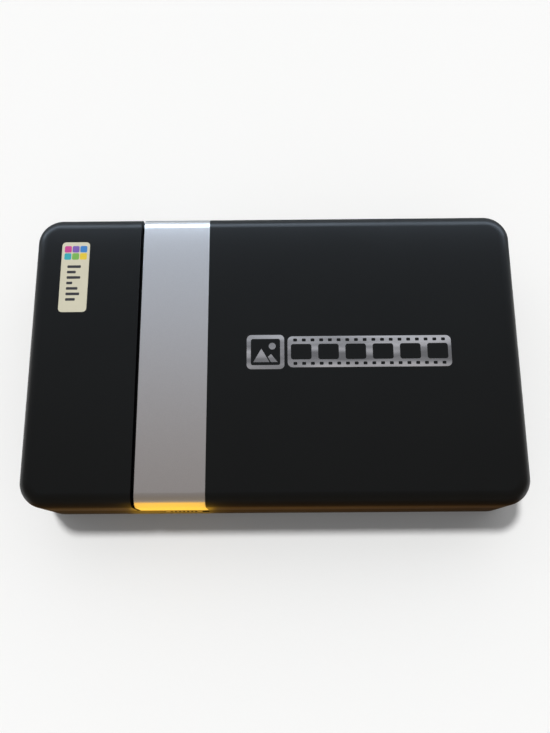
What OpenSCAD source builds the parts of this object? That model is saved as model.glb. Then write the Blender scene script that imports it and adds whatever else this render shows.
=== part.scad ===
/* [Body] */
// Overall length, from the paper exit to the hinge
body_length = 120; // [120:0.5:128]
// Overall width
body_width = 73; // [72.6:0.2:80]
// Overall height with the feet
body_height = 23.5; // [23.4:0.1:26]
// Corner radius seen from above
corner_radius = 6.3; // [5.4:0.1:7]
// Radius of the rounded top edge
top_edge_radius = 3.2; // [2.6:0.1:3.8]
// Radius of the rounded bottom edge
bottom_edge_radius = 2.4; // [2.2:0.1:3]
// Wall thickness of the shells
wall = 1.8; // [1.7:0.05:1.9]
// How far the feet stand proud of the underside
foot_height = 0.6; // [0.4:0.1:1]
// Radius of a foot
foot_radius = 3.2; // [2.6:0.1:3.4]
// Seam between the lower case and what closes it
seam = 0.2; // [0.15:0.05:0.3]

/* [Paper path] */
// Width of a sheet of paper
sheet_width = 50.8; // [50:0.1:51]
// Length of a sheet of paper
sheet_length = 76.2; // [72:0.1:76.3]
// Height of the paper path above the case floor
path_height = 10; // [9.9:0.05:10.2]
// Gap between each pair of rollers
nip_gap = 0.3; // [0.2:0.05:0.4]
// Radius of the platen roller
platen_radius = 4; // [3.8:0.05:4.1]
// Radius of the feed roller
feed_radius = 3.5; // [3.3:0.05:3.6]
// Radius of the pinch roller
pinch_radius = 2.5; // [2.2:0.05:2.7]
// Radius of the pick roller
pick_radius = 4; // [3.8:0.05:4.2]
// Radius of the roller shafts
shaft_radius = 1.2; // [1:0.05:1.3]
// Running clearance around a shaft or pin
running_gap = 0.05; // [0.03:0.01:0.08]
// Thickness of the two mechanism side plates
plate_thickness = 1.6; // [1.4:0.1:1.8]

/* [Gears] */
// Gear module
gear_module = 0.35; // [0.345:0.001:0.355]
// Play between two meshing teeth
backlash = 0.12; // [0.1:0.01:0.16]
// Thickness of a gear
gear_thickness = 1.5; // [1.2:0.1:1.6]
// Teeth on the motor pinion
pinion_teeth = 10; // [10:1:11]
// Teeth on the large wheel of the reduction gear
reduction_teeth = 38; // [36:1:38]
// Teeth on the small wheel of the reduction gear
reduction_small_teeth = 12; // [12:1:13]
// Teeth on each of the two idler gears
idler_teeth = 14; // [14:1:15]

/* [Paper door] */
// Gap between the end cover and the door
door_gap = 0.8; // [0.5:0.1:1]
// Length of the end cover
cover_length = 26.7; // [26:0.1:28]
// Width of the silver band
band_width = 16.5; // [12:0.5:20]
// Thickness of the silver band
band_thickness = 0.5; // [0.4:0.05:0.8]
// Radius of the hinge barrel
hinge_radius = 2; // [1.8:0.05:2.1]
// Radius of the hinge pin
pin_radius = 0.75; // [0.6:0.05:0.9]
// Travel of the pressure plate
plate_travel = 2.6; // [2:0.1:2.7]

/* [Battery] */
// Length of the battery pack
battery_length = 48; // [40:0.5:48.5]
// Width of the battery pack
battery_width = 33; // [28:0.5:34]
// Thickness of the battery pack
battery_thickness = 7.2; // [5:0.1:7.6]

/* [Electronics] */
// Thickness of the circuit board
board_thickness = 0.8; // [0.6:0.1:1]
// Height of the board above the case floor
board_standoff = 1; // [0.8:0.1:1.2]
// Radius of the motor
motor_radius = 4.3; // [4:0.05:4.4]
// Length of the motor
motor_length = 22; // [16:0.5:26]

/* [Hidden] */
$fn = 64;
cut = 1;
// Clearances between pieces that don't move on each other, from loose to close
play = 0.2;
close_play = 0.1;
hair_play = 0.05;
half_l = body_length / 2;
half_w = body_width / 2;
in_l = half_l - wall;
in_w = half_w - wall;
floor_z = foot_height + wall;
roof_z = body_height - wall;
path_z = floor_z + path_height;
path_to_seam = 0.6;
split_z = path_z + path_to_seam;
nip_low_z = path_z - nip_gap / 2;
nip_high_z = path_z + nip_gap / 2;
shell_z = split_z + seam;

// Lip that lines up the shells
lip_height = 1.2;
lip_thickness = 0.9;
lip_gap = 0.15;
lip_root = 1.5;
slot_drop = 1;
lip_end_gap = 8;
lip_end_x = in_l - lip_end_gap;

// Door and cover split
cover_x1 = -half_l + cover_length;
door_x0 = cover_x1 + door_gap;
band_x1 = door_x0 + band_width;
ledge_reach = 1.9;
ledge_root = 2.6;
ledge_thickness = 0.6;
ledge_inset = 2.5;
ledge_y = in_w - ledge_inset;

// Door hinge
hinge_x = half_l - hinge_radius;
hinge_drop = 1.2;
hinge_z = split_z - hinge_drop;
barrel_gap = 0.25;
hinge_inset = 1.7;
hinge_end_y = in_w - hinge_inset;
end_knuckle = 6;
mid_knuckle_half = 5;
hinge_plate = 2.4;
knuckle_gap = 0.2;
knuckle_root = 0.3;
swing_gap = 0.4;
end_top_z = hinge_z - hinge_radius - swing_gap;

// Rollers and the plates that carry them, between y and -y
side_room = 1.1;
roller_y = sheet_width / 2 + side_room;
plate_y = roller_y + side_room;
plate_out_y = plate_y + plate_thickness;
platen_inset = 18;
platen_to_feed = 12.5;
feed_to_pick = 14.5;
pick_drop = 0.4;
platen_x = -half_l + platen_inset;
platen_z = nip_high_z + platen_radius;
feed_x = platen_x + platen_to_feed;
feed_z = nip_low_z - feed_radius;
pinch_z = nip_high_z + pinch_radius;
pick_x = feed_x + feed_to_pick;
pick_z = path_z - pick_drop - pick_radius;
pick_half = 10;
pick_tyre = 7.5;
bush_wall = 0.8;
bush_flange = 0.4;
bush_rim = 0.5;
shaft_end = 0.3;

// Motor
motor_inset = 8.5;
motor_x = -half_l + motor_inset;
motor_z = floor_z + play + motor_radius;
motor_shaft_radius = 0.75;
motor_nose_radius = 2.2;
motor_shaft_inside = 4;
motor_boss = 0.8;

// Gear layers outside the gear side plate
gear_stand_off = 0.4;
gear_y0 = plate_out_y + gear_stand_off;
gear_y1 = gear_y0 + gear_thickness;
layer_gap = 0.5;
outer_y0 = gear_y1 + layer_gap;
outer_y1 = outer_y0 + gear_thickness;
mesh_gap = 0.04;
platen_teeth = 24;
feed_teeth = 21;
transfer_teeth = 20;
pick_teeth = 24;
pressure_angle = 20;
addendum = 0.9;
dedendum = 1.2;
axle_radius = 0.8;
axle_head = 0.3;
axle_head_radius = 1.25;
washer_gap = 0.1;

// Paper tray
feed_to_tray = 7.1;
tray_x0 = feed_x + feed_to_tray;
sheet_play = 0.8;
tray_x1 = tray_x0 + sheet_length + sheet_play;
tray_wall = 1;
tray_y = sheet_width / 2 + sheet_play;
tray_drop = 0.6;
tray_z = path_z - tray_drop;
tray_floor = 1;
tray_depth = 4.4;
tray_rim_z = tray_z + tray_depth;
finger_half = 8;
finger_sill = 1;
thumb_radius = 3.2;
thumb_offset = 45;
thumb_x = tray_x0 + thumb_offset;
pick_to_flange = 12;
flange_inset = 1.2;
boss_inset = [3, 3.7, 4.6];
flange_x0 = pick_x + pick_to_flange;
flange_y = in_w - flange_inset;
boss_y = in_w - boss_inset[1];
tray_boss_x = [flange_x0 + boss_inset[0], tray_x1 - boss_inset[2]];
boss_radius = 2.3;
flange_margin = 0.4;
tray_screw_length = 6;
pick_slot = 3.6;
pick_slot_play = 1;
gate_slot = 1.2;

// Screws
screw_radius = 0.8;
screw_head_radius = 1.5;
screw_head = 0.9;
clearance_radius = 1;
corner_inset = [2.2, 2.7];
corner_boss_x = -in_l + corner_inset[0];
corner_boss_y = in_w - corner_inset[1];
corner_boss_radius = 2.2;
long_screw_bite = 5;
long_screw_top = split_z + long_screw_bite;
head_recess = 1.3;
head_recess_z = foot_height + head_recess;
screw_floor = 0.8;
plate_screw_length = 1.6;
board_screw_length = 2.4;
slot_width = 0.35;
slot_half = 0.95;
slot_depth = 0.45;

// Feet
foot_recess = 0.4;
foot_inset = [13, 6, 9];
foot_x = [-half_l + foot_inset[0], half_l - foot_inset[2]];
foot_y = half_w - foot_inset[1];

// Battery and its door
pick_to_battery = 20;
battery_x0 = pick_x + pick_to_battery;
battery_x1 = battery_x0 + battery_length;
battery_y = -9;
battery_y0 = battery_y - battery_width / 2;
battery_y1 = battery_y + battery_width / 2;
hatch_offset = 5;
hatch_x0 = battery_x0 + hatch_offset;
hatch_thickness = wall - play;
hatch_fit = 0.15;
hatch_side = 0.5;
hatch_y0 = battery_y0 - hatch_side;
hatch_y1 = battery_y1 + hatch_side;
hatch_lip = 3.4;
hatch_lip_z = foot_height + hatch_lip;
tongue = 1.2;
tongue_rise_z = 0.7;
tongue_z = foot_height + tongue_rise_z;
rail_width = 1.1;
rail_height = 0.7;
rib_thickness = 1;

// Circuit board
board_z = floor_z + board_standoff;
board_top = board_z + board_thickness;
board_x0 = feed_x - 2;
board_x1 = tray_boss_x[1] - 1;
board_y0 = battery_y1 + 5;
board_y1 = plate_y - 0.6;
board_tab_x0 = flange_x0 + 7;
board_tab_x1 = tray_boss_x[1] - 4;
board_tab_y = in_w - 1.1;
leg_x0 = pick_x + 6.6;
leg_x1 = battery_x0 - 0.6;
leg_y0 = battery_y - 3;
board_holes = [[board_x0 + 6, board_y0 + 2.5], [leg_x0 + 3, board_y1 - 3], [board_x1 - 3, board_y0 + 3]];
standoff_radius = 2;

// Ports, button and lights in the back wall
port_z = board_top;
usb_x = board_tab_x0 + 22;
usb_width = 13.1;
usb_height = 5.7;
usb_depth = 13.6;
usb_skin = 0.35;
jack_x = usb_x + 14.5;
jack_width = 7;
jack_height = 5.6;
jack_depth = 11;
jack_bore = 1.9;
jack_wall = 0.8;
jack_recess = 0.4;
jack_back = 1.5;
jack_pin_recess = 1.4;
usb_recess = 0.3;
tongue_half = 5.5;
tongue_rise = 0.3;
tongue_top = 2;
tongue_recess = 0.8;
jack_pin = 0.5;
button_x = board_tab_x0 + 4;
button_z = port_z + 2.6;
button_length = 7;
button_width = 2.8;
button_press = 0.4;
button_fit = 0.1;
button_flange = 0.7;
button_rim = 0.5;
flange_y1 = in_w - hair_play;
flange_y0 = flange_y1 - button_flange;
switch_y = flange_y0 - button_press - close_play;
switch_half = 2.2;
switch_depth = 4;
switch_top = 1.4;
stem_length = 0.7;
stem_radius = 0.9;
pipe_length = 1.8;
led_half = 0.8;
led_gap = 0.2;
led_length = 1;
led_top = 0.6;
light_x = [button_x + 5.5, button_x + 8];
light_radius = 0.8;

// Latch in the front wall
latch_x = feed_x + 7;
latch_travel = 1.5;
latch_half = 7;
latch_z0 = split_z - 5.4;
latch_z1 = split_z - 1.4;
neck_z = (latch_z0 + latch_z1) / 2;
slide_play = 0.3;
latch_plate = 1;
latch_gap = 0.2;
neck_half = 2;
neck_height = 1.6;
grip_half = 4.5;
grip_height = 3.2;
grip_depth = 0.9;
finger_height = 1;
finger_length = 2.4;
finger_relief = 0.4;
finger_root = 2.7;
catch_height = 0.9;
catch_depth = 1.2;
catch_x0 = latch_x + latch_half + latch_gap;
catch_pad_x0 = catch_x0 + 1.4;
catch_pad_x1 = catch_x0 + 3.4;
catch_pad_height = 4.4;
catch_pad_depth = 0.7;
rivet_x = (catch_pad_x0 + catch_pad_x1) / 2;
rivet_z = shell_z + 3.2;
rivet_radius = 0.7;
rivet_head = 0.3;

// Springs
spring_wire = 0.4;
spring_sides = 6;
spring_steps = 8;

// Thermal head
head_x0 = platen_x - 4;
head_x1 = platen_x + 3.4;
head_top = nip_low_z - hair_play;
head_thickness = 1.6;
sink_depth = 3.4;
pivot_x = platen_x + 6.8;
pivot_z = floor_z + 2.8;
pivot_radius = 0.9;

// Shapes used by several pieces
module block(low, high) {
    translate(low) cube(high - low);
}

module rod_y(x, z, r, y0, y1) {
    translate([x, y0, z]) rotate([-90, 0, 0]) cylinder(r = r, h = y1 - y0);
}

module tube_y(x, z, outer, inner, y0, y1) {
    difference() {
        rod_y(x, z, outer, y0, y1);
        rod_y(x, z, inner, y0 - cut, y1 + cut);
    }
}

module slab_y(y0, y1) {
    translate([0, y1, 0]) rotate([90, 0, 0]) linear_extrude(y1 - y0) children();
}

module slab_x(x0, x1) {
    translate([x0, 0, 0]) rotate([90, 0, 90]) linear_extrude(x1 - x0) children();
}

module rounded_plan(l, w, r) {
    square([l - 2 * r, w], center = true);
    square([l, w - 2 * r], center = true);
    for (x = [-1, 1], y = [-1, 1])
        translate([x * (l / 2 - r), y * (w / 2 - r)]) circle(r);
}

module corner_profile(r, h, e) {
    square([r, h - e]);
    square([r - e, h]);
    intersection() {
        translate([r - e, h - e]) circle(e);
        square([r, h]);
    }
}

// A rounded slab that stands on z = 0, with corner radius r and top edge radius e
module domed_slab(l, w, h, r, e) {
    linear_extrude(h - e) rounded_plan(l, w, r);
    linear_extrude(h) rounded_plan(l - 2 * e, w - 2 * e, r - e);
    for (x = [-1, 1], y = [-1, 1])
        translate([x * (l / 2 - r), y * (w / 2 - r), 0]) rotate_extrude() corner_profile(r, h, e);
    for (y = [-1, 1])
        translate([r - l / 2, y * (w / 2 - e), h - e]) rotate([0, 90, 0])
            cylinder(r = e, h = l - 2 * r);
    for (x = [-1, 1])
        translate([x * (l / 2 - e), r - w / 2, h - e]) rotate([-90, 0, 0])
            cylinder(r = e, h = w - 2 * r);
}

// Outside and inside of the upper shells
module top_outside() {
    translate([0, 0, shell_z])
        domed_slab(body_length, body_width, body_height - shell_z, corner_radius, top_edge_radius);
}

module top_inside() {
    translate([0, 0, shell_z - cut])
        domed_slab(2 * in_l, 2 * in_w, roof_z - shell_z + cut, corner_radius - wall,
            top_edge_radius - wall);
}

// Outline of the upper shells across the body, drawn in from the outside by d
module band_outline(d) {
    r = top_edge_radius - d;
    w = half_w - d;
    h = body_height - d;
    translate([-w, shell_z - cut]) square([2 * w, h - r - shell_z + cut]);
    translate([r - w, shell_z - cut]) square([2 * (w - r), h - shell_z + cut]);
    for (y = [r - w, w - r]) translate([y, h - r]) circle(r);
}

// The cross for the screwdriver, cut slot_depth to each side of z
module cross_slot(z) {
    for (turn = [0, 90]) rotate(turn)
        block([-slot_half, -slot_width / 2, z - slot_depth], [slot_half, slot_width / 2, z + slot_depth]);
}

// A screw whose head stands on z
module round_head_screw(x, y, z, length) {
    translate([x, y, z]) difference() {
        cylinder(r = screw_head_radius, h = screw_head);
        cross_slot(screw_head);
    }
    translate([x, y, z - length]) cylinder(r = screw_radius, h = length);
}

// A coil spring along Z, from z = 0 to its length, as one tube
module coil_spring(radius, length, turns) {
    wire = spring_wire / 2;
    rings = turns * spring_steps;
    rise = length - spring_wire;
    points = [for (i = [0:rings], k = [0:spring_sides - 1])
        let (a = 360 * i / spring_steps, b = 360 * k / spring_sides,
            r = radius + wire * cos(b))
        [r * cos(a), r * sin(a), wire + rise * i / rings + wire * sin(b)]];
    faces = concat([[for (k = [0:spring_sides - 1]) k]],
        [for (i = [0:rings - 1], k = [0:spring_sides - 1])
            let (a = i * spring_sides + k, b = i * spring_sides + (k + 1) % spring_sides)
            each [[a, b + spring_sides, b], [a, a + spring_sides, b + spring_sides]]],
        [[for (k = [spring_sides - 1:-1:0]) rings * spring_sides + k]]);
    polyhedron(points, faces);
}

// Gears: each is drawn in X and Z, and phased so that it meshes with the one before it
function involute(a) = tan(a) * 180 / PI - a;
function pitch_radius(n) = gear_module * n / 2;
function half_tooth(n, r) = let (p = pitch_radius(n), b = p * cos(pressure_angle))
    90 / n + involute(pressure_angle) - involute(acos(min(1, b / r)))
    - backlash / 4 / p * 180 / PI;
function tooth_radii(n) = let (p = pitch_radius(n), b = p * cos(pressure_angle))
    [p - dedendum * gear_module, max(b, p - addendum * gear_module) + 0.01, p,
        p + addendum / 2 * gear_module, p + addendum * gear_module];
function polar(r, a) = [r * cos(a), r * sin(a)];
function meet(p, rp, q, rq, side) =
    let (d = norm(q - p), u = (q - p) / d, a = (rp * rp - rq * rq + d * d) / (2 * d),
        h = sqrt(rp * rp - a * a))
    p + a * u + side * h * [-u[1], u[0]];
function centres(m, n) = pitch_radius(m) + pitch_radius(n) + mesh_gap;
function heading(p, q) = atan2(q[1] - p[1], q[0] - p[0]);
function phase(p, m, turn, q, n) = let (a = heading(p, q))
    a + 180 + 360 / n * (0.5 + (a - turn) * m / 360);

motor_at = [motor_x, motor_z];
platen_at = [platen_x, platen_z];
feed_at = [feed_x, feed_z];
pick_at = [pick_x, pick_z];
reduction_at = meet(motor_at, centres(pinion_teeth, reduction_teeth),
    platen_at, centres(reduction_small_teeth, platen_teeth), -1);
idler_angle = -58;
idler_1_at = platen_at + polar(centres(platen_teeth, idler_teeth), idler_angle);
idler_2_at = meet(idler_1_at, centres(idler_teeth, idler_teeth),
    feed_at, centres(idler_teeth, feed_teeth), 1);
transfer_at = meet(feed_at, centres(feed_teeth, transfer_teeth),
    pick_at, centres(transfer_teeth, pick_teeth), -1);

platen_turn = 0;
small_turn = phase(platen_at, platen_teeth, platen_turn, reduction_at, reduction_small_teeth);
large_turn = 0;
pinion_turn = phase(reduction_at, reduction_teeth, large_turn, motor_at, pinion_teeth);
idler_1_turn = phase(platen_at, platen_teeth, platen_turn, idler_1_at, idler_teeth);
idler_2_turn = phase(idler_1_at, idler_teeth, idler_1_turn, idler_2_at, idler_teeth);
feed_turn = phase(idler_2_at, idler_teeth, idler_2_turn, feed_at, feed_teeth);
transfer_turn = phase(feed_at, feed_teeth, feed_turn, transfer_at, transfer_teeth);
pick_turn = phase(transfer_at, transfer_teeth, transfer_turn, pick_at, pick_teeth);

module gear_outline(n) {
    radii = tooth_radii(n);
    last = len(radii) - 1;
    polygon([for (i = [0:n - 1])
        let (a = 360 / n * i)
        each concat(
            [for (k = [0:last]) polar(radii[k], a - half_tooth(n, max(radii[k], radii[1])))],
            [for (k = [last:-1:0]) polar(radii[k], a + half_tooth(n, max(radii[k], radii[1])))])]);
}

module gear_wheel(at, n, turn, y0, y1) {
    slab_y(y0, y1) translate(at) rotate(turn) gear_outline(n);
}

module bored_gear(at, n, turn, y0, y1, bore) {
    difference() {
        gear_wheel(at, n, turn, y0, y1);
        rod_y(at[0], at[1], bore, y0 - cut, y1 + cut);
    }
}

// Shells
module case_outside() {
    translate([0, 0, split_z]) mirror([0, 0, 1])
        domed_slab(body_length, body_width, split_z - foot_height, corner_radius,
            bottom_edge_radius);
}

module case_inside() {
    translate([0, 0, split_z + cut]) mirror([0, 0, 1])
        domed_slab(2 * in_l, 2 * in_w, split_z + cut - floor_z, corner_radius - wall,
            bottom_edge_radius - wall);
}

module case_rim() {
    d = 2 * lip_gap;
    t = 2 * (lip_gap + lip_thickness);
    r = corner_radius - wall;
    difference() {
        union() {
            translate([0, 0, split_z - lip_root]) linear_extrude(lip_root)
                rounded_plan(2 * in_l, 2 * in_w, r);
            translate([0, 0, split_z - lip_root]) linear_extrude(lip_root + lip_height)
                rounded_plan(2 * in_l - d, 2 * in_w - d, r - d / 2);
        }
        translate([0, 0, split_z - lip_root - cut]) linear_extrude(lip_root + lip_height + 2 * cut)
            rounded_plan(2 * in_l - t, 2 * in_w - t, r - t / 2);
        block([lip_end_x, -half_w, split_z - lip_root - cut], [half_l, half_w, split_z + lip_height + cut]);
    }
}

module case_posts() {
    for (x = tray_boss_x, y = [-boss_y, boss_y])
        translate([x, y, floor_z - cut]) cylinder(r = boss_radius, h = tray_z - tray_floor - floor_z + cut);
    for (y = [-corner_boss_y, corner_boss_y])
        translate([corner_boss_x, y, floor_z - cut])
            cylinder(r = corner_boss_radius, h = split_z - floor_z + cut);
    for (p = board_holes)
        translate([p[0], p[1], floor_z - cut]) cylinder(r = standoff_radius, h = board_standoff + cut);
}

module battery_bay() {
    for (y = [hatch_y0 - hatch_fit - rail_width, hatch_y1 + hatch_fit])
        block([hatch_x0, y, floor_z - cut], [in_l - tongue, y + rail_width, floor_z + rail_height]);
    block([battery_x1 + hatch_fit, hatch_y0 - hatch_fit - rail_width, floor_z + rail_height - cut / 2],
        [battery_x1 + hatch_fit + rib_thickness, hatch_y1 + hatch_fit + rail_width,
            floor_z + battery_thickness / 2]);
}

module hatch_space() {
    block([hatch_x0 - hatch_fit, hatch_y0 - hatch_fit, foot_height - cut],
        [half_l + cut, hatch_y1 + hatch_fit, floor_z]);
    block([hatch_x0 - hatch_fit, hatch_y0 - tongue - hatch_fit, tongue_z - close_play],
        [in_l, hatch_y1 + tongue + hatch_fit, floor_z - close_play]);
    block([in_l - hatch_fit, hatch_y0 - tongue - hatch_fit, foot_height - cut],
        [half_l + cut, hatch_y1 + tongue + hatch_fit, hatch_lip_z + hatch_fit]);
}

module screw_hole_from_below(x, y) {
    translate([x, y, foot_height - cut]) cylinder(r = screw_head_radius + play, h = cut + head_recess);
    translate([x, y, foot_height]) cylinder(r = clearance_radius, h = split_z);
}

module case_openings() {
    block([-half_l - cut, -roller_y, path_z - slot_drop],
        [lip_thickness + lip_gap - in_l + cut, roller_y, split_z + 2 * cut + lip_height]);
    for (y = [-corner_boss_y, corner_boss_y]) {
        screw_hole_from_below(corner_boss_x, y);
        translate([corner_boss_x, y, split_z]) cylinder(r = corner_boss_radius + play, h = lip_height + cut);
    }
    for (x = foot_x, y = [-foot_y, foot_y])
        translate([x, y, foot_height - cut]) cylinder(r = foot_radius, h = cut + foot_recess);
    for (x = tray_boss_x, y = [-boss_y, boss_y])
        translate([x, y, floor_z]) cylinder(r = screw_radius, h = split_z);
    for (p = board_holes)
        translate([p[0], p[1], floor_z - screw_floor]) cylinder(r = screw_radius, h = split_z);
    for (x = plate_tab_x, y = [-plate_tab_y, plate_tab_y])
        translate([x, y, floor_z - screw_floor]) cylinder(r = screw_radius, h = 2 * cut);
    hatch_space();
    wall_openings();
}

module button_outline(d) {
    for (x = [-1, 1])
        translate([x * (button_length - button_width) / 2, 0]) circle(button_width / 2 + d);
    square([button_length - button_width, button_width + 2 * d], center = true);
}

module wall_openings() {
    slab_y(in_w - cut, half_w + cut)
        translate([button_x, button_z]) button_outline(button_fit);
    for (x = light_x) rod_y(x, button_z, light_radius, in_w - cut, half_w + cut);
    block([usb_x - usb_width / 2 - play, in_w - cut, port_z - close_play],
        [usb_x + usb_width / 2 + play, half_w + cut, port_z + usb_height + play]);
    rod_y(jack_x, port_z + jack_height / 2, jack_bore + jack_wall + close_play, in_w - cut, half_w + cut);
    block([latch_x - grip_half - slide_play, -half_w - cut, neck_z - grip_height / 2 - play],
        [latch_x + grip_half + latch_travel + slide_play, grip_depth + close_play - half_w,
            neck_z + grip_height / 2 + play]);
    block([latch_x - neck_half - play, -half_w - cut, neck_z - neck_height / 2 - close_play],
        [latch_x + neck_half + latch_travel + play, cut - in_w, neck_z + neck_height / 2 + close_play]);
    block([latch_x - latch_half, -in_w, latch_z0 - play],
        [latch_x + latch_half + latch_travel + finger_length,
            lip_thickness + 2 * lip_gap + close_play - in_w, split_z + lip_height + cut]);
}

module hinge_cut() {
    block([hinge_x - play, -half_w - cut, end_top_z], [half_l + cut, half_w + cut, split_z + cut]);
    block([hinge_x - hinge_radius - barrel_gap, -hinge_end_y - play, end_top_z],
        [half_l + cut, hinge_end_y + play, split_z + cut]);
}

module case_knuckle(y0, y1) {
    difference() {
        union() {
            rod_y(hinge_x, hinge_z, hinge_radius, y0, y1);
            block([hinge_x - hinge_radius, y0, end_top_z - cut], [hinge_x + knuckle_root, y1, hinge_z]);
        }
        rod_y(hinge_x, hinge_z, pin_radius, y0 - cut, y1 + cut);
    }
}

module bottom_case() {
    color("#1d1f21") {
        difference() {
            union() {
                difference() {
                    case_outside();
                    case_inside();
                }
                case_rim();
                case_posts();
                battery_bay();
                block([hinge_x - hinge_radius, -hinge_end_y, end_top_z - hinge_plate],
                    [in_l + cut / 2, hinge_end_y, end_top_z]);
                block([latch_x - latch_half, latch_plate + 2 * latch_gap - in_w, floor_z - cut],
                    [latch_x + latch_half, latch_plate + 2 * latch_gap + rib_thickness - in_w,
                        latch_z1]);
            }
            case_openings();
            hinge_cut();
        }
        case_knuckle(-hinge_end_y, end_knuckle - hinge_end_y);
        case_knuckle(-mid_knuckle_half, mid_knuckle_half);
        case_knuckle(hinge_end_y - end_knuckle, hinge_end_y);
    }
}

label_inset = [10.4, 16.2];
label_x = -half_l + label_inset[0];
label_y = half_w - label_inset[1];
label_width = 7;
label_length = 18.6;
label_radius = 1;
label_depth = 0.3;
label_sink = 0.02;

module label_plan() {
    translate([label_x, label_y]) rounded_plan(label_width, label_length, label_radius);
}

module end_cover() {
    color("#17191b") difference() {
        union() {
            difference() {
                intersection() {
                    top_outside();
                    block([-half_l, -half_w, shell_z], [cover_x1, half_w, body_height]);
                }
                top_inside();
            }
            for (y = [-corner_boss_y, corner_boss_y])
                translate([corner_boss_x, y, shell_z])
                    cylinder(r = corner_boss_radius, h = roof_z - shell_z + cut / 2);
            block([cover_x1 - ledge_root, -ledge_y, roof_z - ledge_thickness - play],
                [cover_x1, ledge_y, roof_z + cut / 2]);
            block([cover_x1 - cut, -ledge_y, roof_z - ledge_thickness - play],
                [cover_x1 + ledge_reach, ledge_y, roof_z - play]);
        }
        for (y = [-corner_boss_y, corner_boss_y])
            translate([corner_boss_x, y, shell_z - cut])
                cylinder(r = screw_radius, h = long_screw_top - shell_z + 2 * cut);
        translate([0, 0, body_height - label_depth]) linear_extrude(cut) label_plan();
    }
}

module colour_label() {
    color("#e9e4cf") translate([0, 0, body_height - label_depth])
        linear_extrude(label_depth - label_sink) label_plan();
}

// Guide tubes under the door, for the two posts of the pressure plate
post_offset = 13;
post_x = pick_x + post_offset;
post_y = [-12, 12];
post_radius = 1.5;
guide_gap = 0.1;
guide_wall = 0.9;
guide_depth = 3.7;
guide_z = roof_z - guide_depth;
press_gap = 0.5;
press_z = tray_z + press_gap;
press_thickness = 1;
press_front = 3;
press_back = 16;
press_x0 = pick_x - press_front;
press_x1 = post_x + press_back;
press_y = 19;
press_rim = 1.2;
press_rim_width = 1;
press_coil_gap = 0.4;
coil_turns = 4;

module door_knuckle(y0, y1) {
    difference() {
        union() {
            rod_y(hinge_x, hinge_z, hinge_radius, y0, y1);
            block([hinge_x, y0, hinge_z], [half_l, y1, shell_z + top_edge_radius]);
        }
        rod_y(hinge_x, hinge_z, pin_radius + running_gap, y0 - cut, y1 + cut);
    }
}

module paper_door() {
    color("#17191b") {
        difference() {
            union() {
                difference() {
                    intersection() {
                        top_outside();
                        block([door_x0, -half_w, shell_z], [half_l, half_w, body_height]);
                    }
                    top_inside();
                    slab_x(door_x0 - cut, band_x1) difference() {
                        band_outline(-cut);
                        band_outline(band_thickness);
                    }
                }
                for (y = post_y)
                    translate([post_x, y, guide_z])
                        cylinder(r = post_radius + guide_gap + guide_wall, h = roof_z - guide_z + cut / 2);
            }
            for (y = post_y)
                translate([post_x, y, guide_z - cut])
                    cylinder(r = post_radius + guide_gap, h = roof_z - guide_z + cut);
            rod_y(hinge_x, hinge_z, hinge_radius + barrel_gap, -hinge_end_y - play, hinge_end_y + play);
        }
        for (y = [mid_knuckle_half + knuckle_gap, end_knuckle + knuckle_gap - hinge_end_y])
            door_knuckle(y, y + hinge_end_y - end_knuckle - mid_knuckle_half - 2 * knuckle_gap);
    }
}

module door_band() {
    color("#b6b9bd") intersection() {
        slab_x(door_x0, band_x1) difference() {
            band_outline(0);
            band_outline(band_thickness);
        }
        block([door_x0, -half_w, shell_z], [band_x1, half_w, body_height]);
    }
}

// Riveted inside the door's front wall, where the latch's finger comes down over it
module door_catch() {
    color("#a3a7ab") {
        block([catch_x0, -in_w, shell_z],
            [catch_x0 + finger_length, catch_depth - in_w, shell_z + catch_height]);
        block([catch_pad_x0, -in_w, shell_z],
            [catch_pad_x1, catch_pad_depth - in_w, shell_z + catch_pad_height]);
        rod_y(rivet_x, rivet_z, rivet_radius, -in_w, catch_pad_depth + rivet_head - in_w);
    }
}

module hinge_pin() {
    color("silver") rod_y(hinge_x, hinge_z, pin_radius, -hinge_end_y, hinge_end_y);
}

module battery_door() {
    color("#1d1f21") {
        intersection() {
            case_outside();
            union() {
                block([hatch_x0, hatch_y0, foot_height], [half_l, hatch_y1, foot_height + hatch_thickness]);
                block([in_l, hatch_y0 - tongue, foot_height], [half_l, hatch_y1 + tongue, hatch_lip_z]);
            }
        }
        block([hatch_x0, hatch_y0 - tongue, tongue_z],
            [in_l + cut / 2, hatch_y1 + tongue, foot_height + hatch_thickness]);
    }
}

module rubber_feet() {
    color("#2b2c2d") for (x = foot_x, y = [-foot_y, foot_y])
        translate([x, y, 0]) cylinder(r = foot_radius, h = foot_height + foot_recess);
}

module case_screws() {
    color("silver") for (y = [-corner_boss_y, corner_boss_y]) {
        translate([corner_boss_x, y, head_recess_z - screw_head]) difference() {
            cylinder(r = screw_head_radius, h = screw_head);
            cross_slot(0);
        }
        translate([corner_boss_x, y, head_recess_z])
            cylinder(r = screw_radius, h = long_screw_top - head_recess_z);
    }
}

// Latch, shown open
module latch_slide() {
    y0 = latch_gap - in_w;
    y1 = y0 + latch_plate;
    x1 = latch_x + latch_half - slide_play;
    finger_z = shell_z + catch_height + slide_play;
    color("#2a2c2e") {
        block([latch_x - latch_half + slide_play, y0, latch_z0], [x1 - latch_travel, y1, latch_z1]);
        block([x1 - latch_travel - finger_root, y0 + finger_relief, latch_z1 - cut],
            [x1 - latch_travel, y1, finger_z + finger_height]);
        block([x1 - latch_travel - finger_root, y0 + finger_relief, finger_z],
            [x1, y1, finger_z + finger_height]);
        block([latch_x - neck_half, grip_depth - half_w, neck_z - neck_height / 2],
            [latch_x + neck_half, y1, neck_z + neck_height / 2]);
    }
}

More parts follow.
